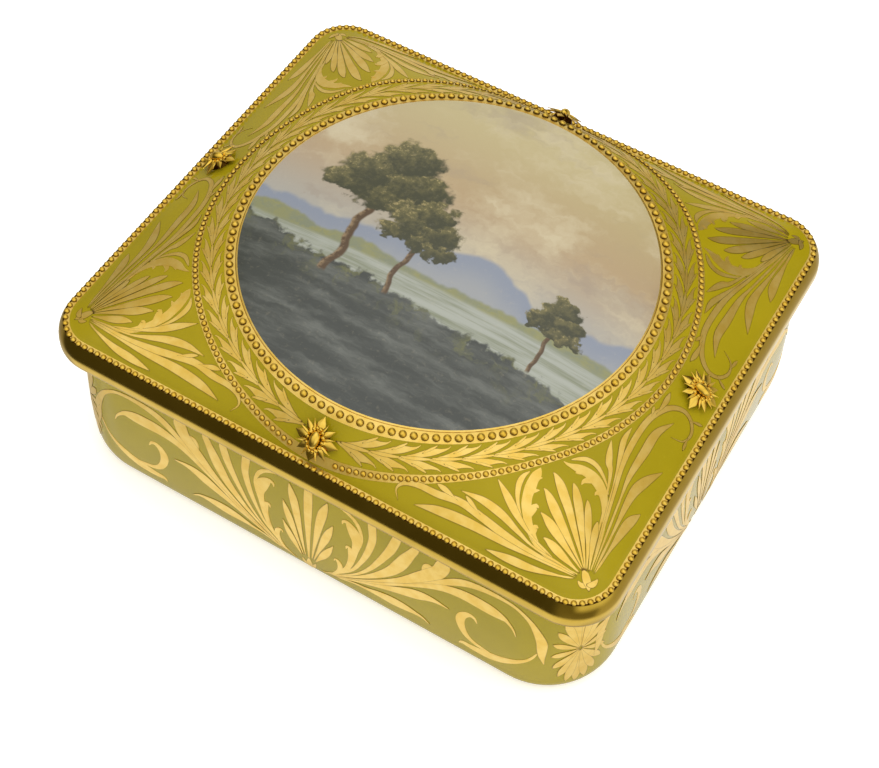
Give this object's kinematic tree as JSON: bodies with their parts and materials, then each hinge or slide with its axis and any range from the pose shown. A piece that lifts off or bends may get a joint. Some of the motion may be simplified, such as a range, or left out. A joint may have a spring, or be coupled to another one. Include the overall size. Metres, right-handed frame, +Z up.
{
  "type": "lidded porcelain box",
  "caption": "Rectangular porcelain table box with round corners and a lift-off domed lid, with raised gold bead strings and bosses round a painted round field.",
  "frame": {"origin": "middle of the box's footprint, on the surface it stands on", "axes": "+X along the long side, +Y towards the back, +Z up; the front faces -Y"},
  "size_m": [0.13, 0.1118, 0.0532],
  "materials": {
    "glaze": "high-gloss olive yellow-green glaze with flat gilding",
    "painting": "glossy painted enamel over the glaze, gilded side",
    "gilding": "burnished raised gilding, darker in the hollows"
  },
  "bodies": {
    "base": {"box_base": "glaze"},
    "lid": {"lid_shell": "glaze", "painted_medallion": "painting", "medallion_beads": "gilding", "wreath_beads_right": "gilding", "wreath_beads_left": "gilding", "border_beads": "gilding", "front_boss_rosette": "gilding", "front_boss_collar": "gilding", "front_boss_cabochon": "gilding", "right_boss_rosette": "gilding", "right_boss_collar": "gilding", "right_boss_cabochon": "gilding", "back_boss_rosette": "gilding", "back_boss_collar": "gilding", "back_boss_cabochon": "gilding", "left_boss_rosette": "gilding", "left_boss_collar": "gilding", "left_boss_cabochon": "gilding"}
  },
  "joints": [
    {"name": "lid_lift", "type": "slide", "parent": "base", "child": "lid", "axis": [0, 0, 1], "range_m": [0, 0.06]}
  ]
}
